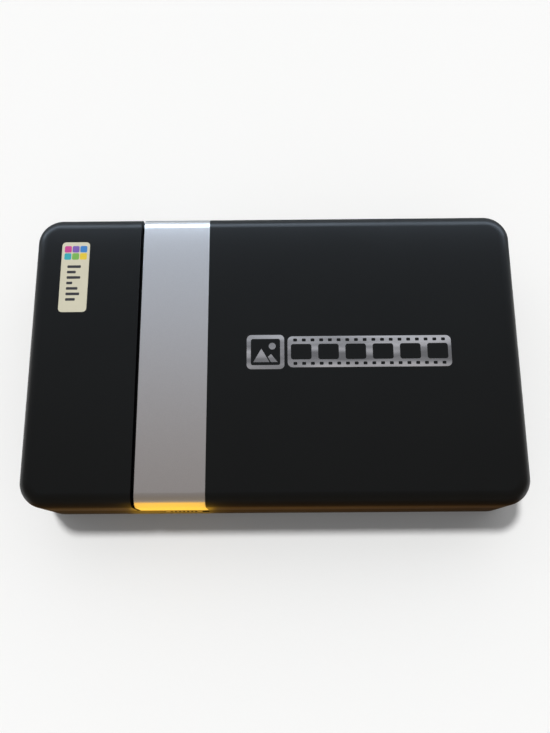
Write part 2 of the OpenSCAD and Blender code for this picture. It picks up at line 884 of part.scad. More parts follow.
module latch_grip() {
    ridge = 0.5;
    ridge_depth = 0.4;
    ridges = 3;
    color("#2a2c2e") difference() {
        block([latch_x - grip_half, -half_w, neck_z - grip_height / 2],
            [latch_x + grip_half, grip_depth - half_w, neck_z + grip_height / 2]);
        for (i = [-ridges:ridges])
            block([latch_x + 2 * i * ridge - ridge / 2, -half_w - cut, neck_z - grip_height],
                [latch_x + 2 * i * ridge + ridge / 2, ridge_depth - half_w, neck_z + grip_height]);
    }
}

module power_button() {
    color("#3a3c3e") {
        slab_y(flange_y1, half_w) translate([button_x, button_z]) button_outline(0);
        slab_y(flange_y0, flange_y1) translate([button_x, button_z]) button_outline(button_rim);
    }
}

module button_switch() {
    color("#c9c6bd") {
        block([button_x - switch_half, switch_y - switch_depth, board_top],
            [button_x + switch_half, switch_y - stem_length, button_z + switch_top]);
        rod_y(button_x, button_z, stem_radius, switch_y - stem_length, switch_y);
    }
}

module light_pipes() {
    color("#f2f2ee") for (x = light_x)
        rod_y(x, button_z, light_radius, in_w - pipe_length, half_w);
}

module status_leds() {
    color("#8fd19a") for (x = light_x)
        block([x - led_half, in_w - pipe_length - led_gap - led_length, board_top],
            [x + led_half, in_w - pipe_length - led_gap, button_z + led_top]);
}

// Paper tray
module tray_gate_slot() {
    block([tray_x0 - tray_wall - cut, -tray_y, tray_z], [tray_x0 + cut, tray_y, tray_z + gate_slot]);
}

module paper_tray() {
    outer_y = tray_y + tray_wall;
    color("#2c2e31") difference() {
        union() {
            block([tray_x0 - tray_wall, -outer_y, tray_z - tray_floor],
                [tray_x1 + tray_wall, outer_y, tray_rim_z]);
            block([flange_x0, -flange_y, tray_z - tray_floor],
                [tray_boss_x[1] + boss_radius + flange_margin, flange_y, tray_z]);
        }
        block([tray_x0, -tray_y, tray_z], [tray_x1, tray_y, tray_rim_z + cut]);
        tray_gate_slot();
        block([pick_x - pick_slot, -pick_half - pick_slot_play, tray_z - tray_floor - cut],
            [pick_x + pick_slot, pick_half + pick_slot_play, tray_z + cut]);
        block([tray_x1 - cut, -finger_half, tray_z + finger_sill],
            [tray_x1 + tray_wall + cut, finger_half, tray_rim_z + cut]);
        for (y = [-outer_y - cut, outer_y - tray_wall - cut])
            rod_y(thumb_x, tray_rim_z, thumb_radius, y, y + tray_wall + 2 * cut);
        for (x = tray_boss_x, y = [-boss_y, boss_y])
            translate([x, y, tray_z - tray_floor - cut])
                cylinder(r = clearance_radius, h = 2 * cut + tray_floor);
    }
}

module tray_screws() {
    color("silver") for (x = tray_boss_x, y = [-boss_y, boss_y])
        round_head_screw(x, y, tray_z, tray_screw_length);
}

module pressure_plate() {
    color("#3b3e42") {
        difference() {
            block([press_x0, -press_y, press_z], [press_x1, press_y, press_z + press_thickness + press_rim]);
            block([press_x0 + press_rim_width, press_rim_width - press_y, press_z + press_thickness],
                [press_x1 - press_rim_width, press_y - press_rim_width,
                    press_z + press_thickness + press_rim + cut]);
        }
        for (y = post_y)
            translate([post_x, y, press_z + press_thickness - cut / 2])
                cylinder(r = post_radius,
                    h = roof_z - play - plate_travel - press_z - press_thickness + cut / 2);
    }
}

module pressure_springs() {
    length = guide_z - press_z - press_thickness;
    color("silver") for (y = post_y)
        translate([post_x, y, press_z + press_thickness])
            coil_spring(post_radius + press_coil_gap + spring_wire / 2, length, coil_turns);
}

// Rollers
module roller(x, z, r, half) {
    tube_y(x, z, r, shaft_radius, -half, half);
}

module roller_shaft(x, z, y1) {
    rod_y(x, z, shaft_radius, -plate_out_y - shaft_end, y1);
}

module pick_roller() {
    color("#4a4c50") for (y = [-pick_half, pick_half - pick_tyre])
        tube_y(pick_x, pick_z, pick_radius, shaft_radius, y, y + pick_tyre);
}

module pick_shaft() {
    color("silver") roller_shaft(pick_x, pick_z, gear_y1);
}

module feed_roller() {
    color("#4a4c50") roller(feed_x, feed_z, feed_radius, roller_y);
}

module feed_shaft() {
    color("silver") roller_shaft(feed_x, feed_z, gear_y1);
}

module pinch_roller() {
    share = 0.4;
    color("#63666a") for (y = [-2 * share, -share / 2, share])
        tube_y(feed_x, pinch_z, pinch_radius, shaft_radius, y * roller_y, (y + share) * roller_y);
}

module pinch_shaft() {
    color("silver") roller_shaft(feed_x, pinch_z, plate_out_y + shaft_end);
}

module platen_roller() {
    color("#3a3b3d") roller(platen_x, platen_z, platen_radius, roller_y);
}

module platen_shaft() {
    color("silver") roller_shaft(platen_x, platen_z, gear_y1);
}

// Thermal head on its sprung heat sink
head_end_y = roller_y;
sink_top = head_top - head_thickness;
sink_x0 = head_x0;
sink_margin = 0.4;
sink_x1 = head_x1 + sink_margin;
fin_pitch = 1.6;
fin_gap = 0.8;
fin_base = 1.2;
arm_thickness = 1.6;
arm_low = 1.4;
arm_high = 2.6;
arm_eye = 1.7;
arm_web = 0.6;
arm_notch = 3;
bead_width = 1.6;
bead_height = 0.5;
spring_offset = 0.5;
head_spring_x = platen_x - spring_offset;
head_spring_y = 16;
head_spring_radius = 1.4;

module print_head() {
    color("#d9d4c6") difference() {
        block([head_x0, -head_end_y, sink_top], [head_x1, head_end_y, head_top]);
        block([head_x0 - cut, -head_end_y - cut, head_top - bead_height],
            [platen_x - bead_width, head_end_y + cut, head_top + cut]);
    }
}

module head_heatsink() {
    color("#9a9da0") difference() {
        union() {
            block([sink_x0, -head_end_y, sink_top - sink_depth], [sink_x1, head_end_y, sink_top]);
            for (y = [-head_end_y, head_end_y - arm_thickness]) {
                slab_y(y, y + arm_thickness) difference() {
                    union() {
                        translate([sink_x1 - cut, pivot_z - arm_low])
                            square([pivot_x - sink_x1 + cut, arm_low + arm_high]);
                        translate([pivot_x, pivot_z]) circle(arm_eye);
                        translate([sink_x0, pivot_z + arm_web])
                            square([sink_x1 - sink_x0, sink_top - pivot_z - arm_web]);
                    }
                    translate([pivot_x - arm_notch, pivot_z + arm_high])
                        square([2 * arm_notch, 2 * arm_notch]);
                }
            }
            for (y = [-plate_out_y, head_end_y - cut])
                rod_y(pivot_x, pivot_z, pivot_radius, y, y + plate_out_y - head_end_y + cut);
        }
        for (x = [sink_x0 + fin_gap:fin_pitch:sink_x1 - fin_gap])
            block([x, arm_thickness - head_end_y, sink_top - sink_depth - cut],
                [x + fin_gap, head_end_y - arm_thickness, sink_top - fin_base]);
    }
}

module head_springs() {
    color("silver") for (y = [-head_spring_y, head_spring_y])
        translate([head_spring_x, y, floor_z])
            coil_spring(head_spring_radius, sink_top - sink_depth - floor_z, coil_turns);
}

// Side plates of the mechanism
plate_x0 = -in_l + 1.2;
plate_x1 = pick_x + 10;
plate_top = roof_z - 0.8;
plate_tab_x = [platen_x + 6.7, pick_x + 8];
tab_hole_offset = 2.2;
plate_tab_y = plate_out_y + tab_hole_offset;
tab_thickness = 0.8;
tab_half = 1.9;
tab_reach = 4.2;
tray_side_z = tray_z - tray_floor - 0.3;
pinch_side_z = pinch_z + 4.4;
front_side_z = path_z + 3;

module plate_outline() {
    hump = 8;
    polygon([[plate_x0, floor_z], [plate_x1, floor_z], [plate_x1, tray_side_z],
        [pick_x + 3, tray_side_z], [feed_x + 5, pinch_z], [feed_x + 3.5, pinch_side_z],
        [platen_x + hump + 1, pinch_side_z], [platen_x + hump - 2, plate_top],
        [platen_x - hump, plate_top], [plate_x0, front_side_z]]);
}

function bearings() = [[platen_x, platen_z], [feed_x, feed_z], [feed_x, pinch_z], [pick_x, pick_z]];

module side_plate_body(side) {
    y0 = side > 0 ? plate_y : -plate_out_y;
    difference() {
        union() {
            slab_y(y0, y0 + plate_thickness) plate_outline();
            for (x = plate_tab_x)
                block([x - tab_half, side > 0 ? plate_out_y - cut / 2 : -plate_out_y - tab_reach, floor_z],
                    [x + tab_half, side > 0 ? plate_out_y + tab_reach : cut / 2 - plate_out_y,
                        floor_z + tab_thickness]);
        }
        for (b = bearings())
            rod_y(b[0], b[1], shaft_radius + running_gap + bush_wall, y0 - cut, y0 + plate_thickness + cut);
        rod_y(pivot_x, pivot_z, pivot_radius + running_gap, y0 - cut, y0 + plate_thickness + cut);
        for (x = plate_tab_x)
            translate([x, side * plate_tab_y, floor_z - cut])
                cylinder(r = clearance_radius, h = tab_thickness + 2 * cut);
    }
}

module gear_side_plate() {
    color("#a3a7ab") difference() {
        side_plate_body(1);
        rod_y(motor_x, motor_z, motor_nose_radius, plate_y - cut, plate_out_y + cut);
        for (p = [reduction_at, idler_1_at, idler_2_at, transfer_at])
            rod_y(p[0], p[1], axle_radius, plate_y - cut, plate_out_y + cut);
    }
}

module latch_side_plate() {
    color("#a3a7ab") side_plate_body(-1);
}

bridge_x = [platen_x - 7.6, platen_x + 5];
bridge_thickness = 0.6;

module bridge_plate() {
    color("#a3a7ab") block([bridge_x[0], -plate_out_y, plate_top],
        [bridge_x[1], plate_out_y, plate_top + bridge_thickness]);
}

module shaft_bushes() {
    color("#c9a24b") for (b = bearings(), side = [-1, 1]) {
        y0 = side > 0 ? plate_y : -plate_out_y;
        y1 = side > 0 ? plate_y - bush_flange : -plate_y;
        outer = shaft_radius + running_gap + bush_wall;
        difference() {
            union() {
                rod_y(b[0], b[1], outer, y0, y0 + plate_thickness);
                rod_y(b[0], b[1], outer + bush_rim, y1, y1 + bush_flange);
            }
            rod_y(b[0], b[1], shaft_radius + running_gap, -half_w, half_w);
        }
    }
}

// Guides under the sheet, and the sensor under the second of them
guide_low_z = path_z - 0.9;
guide_top_z = path_z - 0.3;
exit_guide_x = [-in_l + 1.4, head_x0 - 0.9];
feed_guide_x = [head_x1 + 1.1, feed_x - feed_radius + 0.2];
sensor_x = [head_x1 + 1.4, feed_x - feed_radius - 0.4];
sensor_half = 2;
sensor_z = path_z - 3.2;

module exit_guide() {
    color("#33363a")
        block([exit_guide_x[0], -plate_y, guide_low_z], [exit_guide_x[1], plate_y, guide_top_z]);
}

module feed_guide() {
    color("#33363a")
        block([feed_guide_x[0], -plate_y, guide_low_z], [feed_guide_x[1], plate_y, guide_top_z - hair_play]);
}

module paper_sensor() {
    color("#202224")
        block([sensor_x[0], -sensor_half, sensor_z], [sensor_x[1], sensor_half, guide_low_z]);
}

// Motor
module feed_motor() {
    color("#b8bbbf") difference() {
        union() {
            rod_y(motor_x, motor_z, motor_radius, plate_y - motor_length, plate_y);
            rod_y(motor_x, motor_z, motor_nose_radius, plate_y - cut / 2, plate_out_y);
            rod_y(motor_x, motor_z, motor_nose_radius, plate_y - motor_length - motor_boss,
                plate_y - motor_length + cut / 2);
        }
        rod_y(motor_x, motor_z, motor_shaft_radius + running_gap,
            plate_y - motor_shaft_inside - play, plate_out_y + cut);
    }
}

module motor_shaft() {
    color("silver") rod_y(motor_x, motor_z, motor_shaft_radius, plate_y - motor_shaft_inside, outer_y1);
}

module motor_pinion() {
    color("#d8b45a") bored_gear(motor_at, pinion_teeth, pinion_turn, outer_y0, outer_y1,
        motor_shaft_radius);
}

// Gear train
module reduction_gear() {
    color("#e8e6df") difference() {
        union() {
            gear_wheel(reduction_at, reduction_small_teeth, small_turn, gear_y0, outer_y0 + cut / 2);
            gear_wheel(reduction_at, reduction_teeth, large_turn, outer_y0, outer_y1);
        }
        rod_y(reduction_at[0], reduction_at[1], axle_radius + running_gap, gear_y0 - cut, outer_y1 + cut);
    }
}

module platen_gear() {
    color("#e8e6df") bored_gear(platen_at, platen_teeth, platen_turn, gear_y0, gear_y1, shaft_radius);
}

module idler_gear_1() {
    color("#e8e6df") bored_gear(idler_1_at, idler_teeth, idler_1_turn, gear_y0, gear_y1,
        axle_radius + running_gap);
}

module idler_gear_2() {
    color("#e8e6df") bored_gear(idler_2_at, idler_teeth, idler_2_turn, gear_y0, gear_y1,
        axle_radius + running_gap);
}

module feed_gear() {
    color("#e8e6df") bored_gear(feed_at, feed_teeth, feed_turn, gear_y0, gear_y1, shaft_radius);
}

module transfer_gear() {
    color("#e8e6df") bored_gear(transfer_at, transfer_teeth, transfer_turn, gear_y0, gear_y1,
        axle_radius + running_gap);
}

module pick_gear() {
    color("#e8e6df") bored_gear(pick_at, pick_teeth, pick_turn, gear_y0, gear_y1, shaft_radius);
}

module gear_axle(at, gear_end) {
    rod_y(at[0], at[1], axle_radius, plate_y, gear_end + washer_gap);
    rod_y(at[0], at[1], axle_head_radius, gear_end + washer_gap, gear_end + washer_gap + axle_head);
    tube_y(at[0], at[1], axle_head_radius, axle_radius - washer_gap, plate_out_y, gear_y0 - washer_gap);
}

module gear_axles() {
    color("silver") {
        for (p = [idler_1_at, idler_2_at, transfer_at]) gear_axle(p, gear_y1);
        gear_axle(reduction_at, outer_y1);
    }
}

module plate_screws() {
    color("silver") for (x = plate_tab_x, y = [-plate_tab_y, plate_tab_y])
        round_head_screw(x, y, floor_z + tab_thickness, plate_screw_length);
}

// Electronics
module board_plan() {
    polygon([[board_x0, board_y0], [leg_x0, board_y0], [leg_x0, leg_y0], [leg_x1, leg_y0],
        [leg_x1, board_y0], [board_x1, board_y0], [board_x1, board_y1], [board_tab_x1, board_y1],
        [board_tab_x1, board_tab_y], [board_tab_x0, board_tab_y], [board_tab_x0, board_y1],
        [board_x0, board_y1]]);
}

module main_board() {
    color("#1f5d3a") translate([0, 0, board_z]) linear_extrude(board_thickness) difference() {
        board_plan();
        for (p = board_holes) translate(p) circle(clearance_radius);
    }
}

module chip(x, y, l, w, h) {
    block([x - l / 2, y - w / 2, board_top], [x + l / 2, y + w / 2, board_top + h]);
}

chip_y = (board_y0 + board_y1) / 2;

// Each chip: x, y, length, width, height
chips = [[leg_x1 + 6, chip_y, 9, 9, 1.2], [leg_x1 + 17, chip_y - 1.5, 6, 6, 1],
    [leg_x1 + 33, chip_y + 1, 5, 6, 1.1], [leg_x0 + 5, board_y0 - 4, 6, 5, 1]];
wireless_chip = [board_x0 + 14, chip_y + 1, 9, 7, 1.1];
small_chips = 6;
small_chip_x = leg_x1 + 13;
small_chip_y = board_y0 + 1.6;
small_chip_pitch = 4;
small_chip_size = [1.6, 0.8, 0.8];

module board_chips() {
    color("#202020") {
        for (c = chips) chip(c[0], c[1], c[2], c[3], c[4]);
        for (i = [0:small_chips - 1])
            chip(small_chip_x + small_chip_pitch * i, small_chip_y, small_chip_size[0],
                small_chip_size[1], small_chip_size[2]);
    }
}

module wireless_module() {
    c = wireless_chip;
    color("#bfc3c7") chip(c[0], c[1], c[2], c[3], c[4]);
}

module usb_socket() {
    y1 = half_w - usb_recess;
    y0 = y1 - usb_depth;
    low = [usb_x - usb_width / 2, y0, port_z];
    high = [usb_x + usb_width / 2, y1, port_z + usb_height];
    skin = [usb_skin, usb_skin, usb_skin];
    color("#c4c7ca") difference() {
        block(low, high);
        block(low + skin, [high[0] - usb_skin, high[1] + cut, high[2] - usb_skin]);
    }
    color("#e6e4dc") block([usb_x - tongue_half, y0 + usb_skin, port_z + usb_height / 2 + tongue_rise],
        [usb_x + tongue_half, y1 - tongue_recess, port_z + usb_height / 2 + tongue_top]);
}

module dc_jack() {
    y1 = half_w - jack_recess;
    y0 = y1 - jack_depth;
    z = port_z + jack_height / 2;
    color("#191a1b") difference() {
        union() {
            block([jack_x - jack_width / 2, y0, port_z],
                [jack_x + jack_width / 2, in_w - close_play, port_z + jack_height]);
            rod_y(jack_x, z, jack_bore + jack_wall, in_w - cut, y1);
        }
        rod_y(jack_x, z, jack_bore, y0 + jack_back, half_w + cut);
    }
    color("#c8a94a") rod_y(jack_x, z, jack_pin, y0 + jack_back - cut / 2, half_w - jack_pin_recess);
}

module board_screws() {
    color("silver") for (p = board_holes) round_head_screw(p[0], p[1], board_top, board_screw_length);
}

module battery_pack() {
    corner = 1.6;
    color("#2d3c55") translate([(battery_x0 + battery_x1) / 2, battery_y, floor_z])
        linear_extrude(battery_thickness) rounded_plan(battery_length, battery_width, corner);
}

contact_body = [1.6, 7.6, 3.6];
contact_at = [battery_x0 - 2.6, battery_y - 2.6, board_top];
contact_pitch = 2.4;
contact_first = [1.6, 0.7, 1.6];
contact_width = 1;

module battery_contacts() {
    first = contact_at + contact_first;
    color("#24262a") block(contact_at, contact_at + contact_body);
    color("#d8b45a") for (i = [0:2])
        block(first + [0, contact_pitch * i, 0],
            [battery_x0 - close_play, first[1] + contact_pitch * i + contact_width,
                first[2] + contact_width]);
}

// Flat cable from the head to the board
flex_width = 10;
flex_thickness = 0.25;
flex_inset = 0.8;
flex_y1 = head_end_y - arm_thickness - flex_inset;
flex_y0 = flex_y1 - flex_width;
flex_drop = 2;
flex_rise = 1;
flex_ramp = [0.6, 1.4];
flex_pad = 3.2;

module head_flex() {
    r = flex_thickness;
    z0 = sink_top - sink_depth / 2;
    x0 = sink_x1 + hair_play;
    xm = sink_x1 + flex_drop;
    x1 = board_x0 + flex_ramp[0];
    x2 = board_x0 + flex_ramp[1];
    x3 = board_x0 + flex_pad;
    z1 = board_top + flex_rise;
    color("#b5712f") slab_y(flex_y0, flex_y1)
        polygon([[x0, z0], [xm, z0], [xm, z1], [x1, z1], [x2, board_top + r], [x3, board_top + r],
            [x3, board_top], [x2 - r, board_top], [x1 - r, z1 - r], [xm - r, z1 - r],
            [xm - r, z0 - r], [x0, z0 - r]]);
}

// Leads from the motor along the floor to the board
lead_radius = 0.4;
lead_sides = 8;
lead_pitch = 1.1;
lead_bends = [[0, 4.6, 6.9], [0, 3, 6.8], [0.1, 1.6, 6], [0.5, 0.4, 4.4], [1.9, -0.2, 3.1],
    [4.5, 0, 2.9], [9.5, 0.6, 2.9], [15.5, 2, 2.9], [21.5, 3, 2.9], [27.5, 3.2, 2.9], [33.5, 3.2, 2.9],
    [38.5, 3.1, 2.9], [40.5, 3, 3.3], [41.9, 3, 4.2], [43.1, 3, 4.75], [44.5, 3, 4.7]];
lead_route = [for (p = lead_bends) p + [motor_x, 0, 0]];

function beside(route, shift) = [for (i = [0:len(route) - 1])
    let (a = route[max(i - 1, 0)], b = route[min(i + 1, len(route) - 1)],
        t = [b[0] - a[0], b[1] - a[1]] / norm([b[0] - a[0], b[1] - a[1]]))
    route[i] + shift * [-t[1], t[0], 0]];

module swept_tube(route, radius, sides) {
    last = len(route) - 1;
    rings = [for (i = [0:last])
        let (a = route[max(i - 1, 0)], b = route[min(i + 1, last)], t = (b - a) / norm(b - a),
            s = cross(t, [0, 0, 1]), u = s / norm(s), v = cross(u, t))
        each [for (k = [0:sides - 1])
            route[i] + radius * (cos(360 * k / sides) * u + sin(360 * k / sides) * v)]];
    faces = concat([[for (k = [sides - 1:-1:0]) k]],
        [for (i = [0:last - 1], k = [0:sides - 1])
            let (a = i * sides + k, b = i * sides + (k + 1) % sides)
            each [[a, b, b + sides], [a, b + sides, a + sides]]],
        [[for (k = [0:sides - 1]) last * sides + k]]);
    polyhedron(rings, faces);
}

module motor_leads() {
    color("#b23a34") for (shift = [0, lead_pitch])
        swept_tube(beside(lead_route, shift), lead_radius, lead_sides);
}

bottom_case();
end_cover();
colour_label();
paper_door();
door_band();
door_catch();
hinge_pin();
battery_door();
rubber_feet();
case_screws();
latch_slide();
latch_grip();
power_button();
button_switch();
light_pipes();
status_leds();
paper_tray();
tray_screws();
pressure_plate();
pressure_springs();
pick_roller();
pick_shaft();
feed_roller();
feed_shaft();
pinch_roller();
pinch_shaft();
platen_roller();
platen_shaft();
print_head();
head_heatsink();
head_springs();
gear_side_plate();
latch_side_plate();
bridge_plate();
shaft_bushes();
exit_guide();
feed_guide();
paper_sensor();
feed_motor();
motor_shaft();
motor_pinion();
reduction_gear();
platen_gear();
idler_gear_1();
idler_gear_2();
feed_gear();
transfer_gear();
pick_gear();
gear_axles();
plate_screws();
main_board();
board_chips();
wireless_module();
usb_socket();
dc_jack();
board_screws();
battery_pack();
battery_contacts();
head_flex();
motor_leads();
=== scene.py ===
# Compact photo printer: finishes, foil and label prints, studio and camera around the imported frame
import math
import bpy
from mathutils import Matrix, Vector


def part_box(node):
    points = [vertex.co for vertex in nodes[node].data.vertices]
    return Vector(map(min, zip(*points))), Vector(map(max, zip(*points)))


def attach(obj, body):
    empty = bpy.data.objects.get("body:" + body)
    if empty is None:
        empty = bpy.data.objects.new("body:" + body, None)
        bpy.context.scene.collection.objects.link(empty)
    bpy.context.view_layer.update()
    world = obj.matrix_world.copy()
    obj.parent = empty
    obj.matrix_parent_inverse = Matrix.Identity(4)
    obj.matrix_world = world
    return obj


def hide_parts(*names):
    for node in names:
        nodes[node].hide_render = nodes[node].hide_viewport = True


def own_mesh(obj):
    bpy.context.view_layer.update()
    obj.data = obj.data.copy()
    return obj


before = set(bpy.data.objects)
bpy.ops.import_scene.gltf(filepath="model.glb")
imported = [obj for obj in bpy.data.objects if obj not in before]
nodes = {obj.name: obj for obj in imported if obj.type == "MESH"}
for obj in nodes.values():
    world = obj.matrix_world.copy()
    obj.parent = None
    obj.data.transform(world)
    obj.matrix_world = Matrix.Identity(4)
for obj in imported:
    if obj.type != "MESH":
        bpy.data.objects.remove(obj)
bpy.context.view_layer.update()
scene = bpy.context.scene
mm = 0.001
print("frame loaded:", len(nodes), "pieces")


# Finishes. Every texture is laid out in the printer's own metres, so it moves with its piece.
# What a finish doesn't say itself, it takes from these.
plainDials = {"metal": 0, "shine": 0.5, "coat": 0, "coatRough": 0.1, "clear": 0, "milky": 0,
              "milkyDepth": (1 * mm, 0.8 * mm, 0.6 * mm), "brushed": 0}
mouldedDials = {"clouds": 14 * mm, "spread": 0.08, "swing": 0.04, "edge": 0.12 * mm}
metalDials = {"metal": 1, "spread": 0.1, "swing": 0.06, "edge": 0.08 * mm}
patternLow, patternHigh = 0.3, 0.7  # nearly all of a noise lies between these
edgeSamples = 4


def startFinish(name, look):
    finish = bpy.data.materials.new(name)
    finish.use_nodes = True
    tree = finish.node_tree
    shader = tree.nodes["Principled BSDF"]
    dials = dict(plainDials, **look)
    shader.inputs["Base Color"].default_value = (*dials["colour"], 1)
    for socket, dial in (("Roughness", "rough"), ("Metallic", "metal"),
                         ("Specular IOR Level", "shine"), ("Coat Weight", "coat"),
                         ("Coat Roughness", "coatRough"), ("Transmission Weight", "clear"),
                         ("Subsurface Weight", "milky"), ("Subsurface Radius", "milkyDepth"),
                         ("Anisotropic", "brushed")):
        shader.inputs[socket].default_value = dials[dial]
    return finish, tree, shader


def place(tree):
    # the printer's own coordinates, fetched once for each finish
    found = tree.nodes.get("place")
    if found is None:
        found = tree.nodes.new("ShaderNodeTexCoord")
        found.name = "place"
    return found.outputs["Object"]


def grain(tree, size, stretch=(1, 1, 1), detail=3):
    # noise whose lumps are about size across, pulled out along an axis by a small stretch
    laid = tree.nodes.new("ShaderNodeMapping")
    laid.inputs["Scale"].default_value = stretch
    noise = tree.nodes.new("ShaderNodeTexNoise")
    noise.inputs["Scale"].default_value = 1 / size
    noise.inputs["Detail"].default_value = detail
    tree.links.new(place(tree), laid.inputs["Vector"])
    tree.links.new(laid.outputs["Vector"], noise.inputs["Vector"])
    return noise.outputs["Fac"]


def span(tree, value, low, high, start=patternLow, end=patternHigh):
    # turns a value between start and end into one between low and high
    ranged = tree.nodes.new("ShaderNodeMapRange")
    for socket, number in (("From Min", start), ("From Max", end), ("To Min", low),
                           ("To Max", high)):
        ranged.inputs[socket].default_value = number
    tree.links.new(value, ranged.inputs["Value"])
    return ranged.outputs["Result"]


def toneRamp(tree, value, stops):
    # a colour that runs through the stops, each a place from 0 to 1 and its colour
    ramp = tree.nodes.new("ShaderNodeValToRGB")
    steps = ramp.color_ramp.elements
    while len(steps) < len(stops):
        steps.new(0.5)
    for step, (at, colour) in zip(steps, stops):
        step.position = at
        step.color = (*colour, 1)
    tree.links.new(value, ramp.inputs["Fac"])
    return ramp.outputs["Color"]


def tinted(tree, shader, value, dark, light, start=patternLow, end=patternHigh):
    # colours the finish from dark to light along a pattern
    tone = toneRamp(tree, value, ((start, dark), (end, light)))
    tree.links.new(tone, shader.inputs["Base Color"])


def shaded(colour, factor):
    return tuple(min(1, c * factor) for c in colour)


def aroundTone(colour, spread):
    # the same colour a little darker and a little lighter
    return shaded(colour, 1 - spread), shaded(colour, 1 + spread)


def varied(tree, shader, pattern, look):
    # tone and shine drift a little along a pattern
    tinted(tree, shader, pattern, *aroundTone(look["colour"], look["spread"]))
    rough = span(tree, pattern, look["rough"] + look["swing"], look["rough"] - look["swing"])
    tree.links.new(rough, shader.inputs["Roughness"])


def surfaced(tree, shader, height, depth, edge):
    # bumps of that depth, and edges softened by a tiny radius so that they catch the light
    bump = tree.nodes.new("ShaderNodeBump")
    bump.inputs["Distance"].default_value = depth
    tree.links.new(height, bump.inputs["Height"])
    tree.links.new(bump.outputs["Normal"], shader.inputs["Normal"])
    if edge:
        bevel = tree.nodes.new("ShaderNodeBevel")
        bevel.samples = edgeSamples
        bevel.inputs["Radius"].default_value = edge
        tree.links.new(bevel.outputs["Normal"], bump.inputs["Normal"])


def moulded(name, look):
    # plastic, rubber and film: a fine mould texture, cloudy shine and a faint change of tone
    look = dict(mouldedDials, **look)
    finish, tree, shader = startFinish(name, look)
    fine = grain(tree, look["grain"], detail=2)
    clouds = grain(tree, look["clouds"], detail=4)
    varied(tree, shader, clouds, look)
    surfaced(tree, shader, fine, look["depth"], look["edge"])
    return finish


def metalWorked(name, look):
    # metal with tool or rolling marks: noise drawn out along the working direction
    look = dict(metalDials, **look)
    finish, tree, shader = startFinish(name, look)
    marks = grain(tree, look["grain"], look["stretch"], detail=3)
    varied(tree, shader, marks, look)
    surfaced(tree, shader, marks, look["depth"], look["edge"])
    return finish


softTouch = {"colour": (0.0030, 0.0038, 0.0040), "rough": 0.38, "shine": 0.28,
             "grain": 0.2 * mm, "depth": 0.013 * mm, "clouds": 22 * mm, "spread": 0.12,
             "swing": 0.03, "edge": 0.25 * mm}
caseSkin = {"colour": (0.011, 0.0115, 0.012), "rough": 0.56, "shine": 0.3, "grain": 0.3 * mm,
            "depth": 0.02 * mm, "clouds": 18 * mm, "spread": 0.1, "edge": 0.2 * mm}
buttonSkin = {"colour": (0.045, 0.047, 0.05), "rough": 0.38, "grain": 0.2 * mm,
              "depth": 0.004 * mm}
traySkin = {"colour": (0.03, 0.032, 0.036), "rough": 0.5, "grain": 0.28 * mm,
            "depth": 0.012 * mm}
footRubber = {"colour": (0.021, 0.021, 0.022), "rough": 0.82, "shine": 0.3,
              "grain": 0.22 * mm, "depth": 0.02 * mm, "spread": 0.25, "clouds": 3 * mm}
rollerRubber = {"colour": (0.075, 0.075, 0.08), "rough": 0.78, "shine": 0.3,
                "grain": 0.14 * mm, "depth": 0.016 * mm, "spread": 0.16, "clouds": 2.5 * mm}
platenRubber = {"colour": (0.016, 0.016, 0.017), "rough": 0.62, "shine": 0.35,
                "grain": 0.12 * mm, "depth": 0.008 * mm, "spread": 0.15, "clouds": 4 * mm}
gearResin = {"colour": (0.74, 0.73, 0.67), "rough": 0.36, "grain": 0.5 * mm,
             "depth": 0.004 * mm, "milky": 0.25, "clouds": 2.5 * mm, "spread": 0.03,
             "edge": 0.05 * mm}
switchResin = {"colour": (0.56, 0.54, 0.46), "rough": 0.42, "grain": 0.3 * mm,
               "depth": 0.004 * mm}
chipResin = {"colour": (0.014, 0.014, 0.015), "rough": 0.6, "grain": 0.12 * mm,
             "depth": 0.008 * mm, "clouds": 1.5 * mm, "edge": 0.06 * mm}
jackResin = {"colour": (0.012, 0.012, 0.013), "rough": 0.32, "grain": 0.3 * mm,
             "depth": 0.004 * mm}
leadSleeve = {"colour": (0.42, 0.03, 0.025), "rough": 0.34, "grain": 0.4 * mm,
              "depth": 0.004 * mm}
lampResin = {"colour": (0.30, 0.62, 0.34), "rough": 0.22, "grain": 0.4 * mm,
             "depth": 0.002 * mm, "milky": 0.3, "clouds": 1 * mm}
headGlaze = {"colour": (0.60, 0.55, 0.45), "rough": 0.2, "grain": 0.4 * mm,
             "depth": 0.003 * mm, "clouds": 5 * mm, "coat": 0.5, "edge": 0.05 * mm}
guideResin = {"colour": (0.86, 0.9, 0.87), "rough": 0.35, "clear": 0.7, "grain": 0.2 * mm,
              "depth": 0.006 * mm}  # frosted light guides
labelFilm = {"colour": (0.60, 0.57, 0.44), "rough": 0.42, "grain": 0.3 * mm,
             "depth": 0.003 * mm, "clouds": 6 * mm, "spread": 0.04, "edge": 0.05 * mm}

groundSteel = {"colour": (0.60, 0.61, 0.63), "rough": 0.24, "grain": 0.12 * mm,
               "stretch": (1, 12, 1), "depth": 0.003 * mm}
zincScrew = {"colour": (0.56, 0.58, 0.60), "rough": 0.34, "grain": 0.25 * mm,
             "stretch": (1, 1, 3), "depth": 0.004 * mm}
springWire = {"colour": (0.62, 0.62, 0.64), "rough": 0.2, "grain": 0.2 * mm,
              "stretch": (1, 1, 1), "depth": 0.002 * mm, "edge": 0}
zincSheet = {"colour": (0.54, 0.56, 0.58), "rough": 0.36, "grain": 0.35 * mm,
             "stretch": (0.25, 1, 1.6), "depth": 0.004 * mm, "spread": 0.14}
drawnCan = {"colour": (0.5, 0.51, 0.53), "rough": 0.27, "grain": 0.2 * mm,
            "stretch": (1, 0.12, 1), "depth": 0.003 * mm, "brushed": 0.4}
turnedBrass = {"colour": (0.68, 0.47, 0.19), "rough": 0.26, "grain": 0.1 * mm,
               "stretch": (1, 10, 1), "depth": 0.003 * mm, "edge": 0.05 * mm}
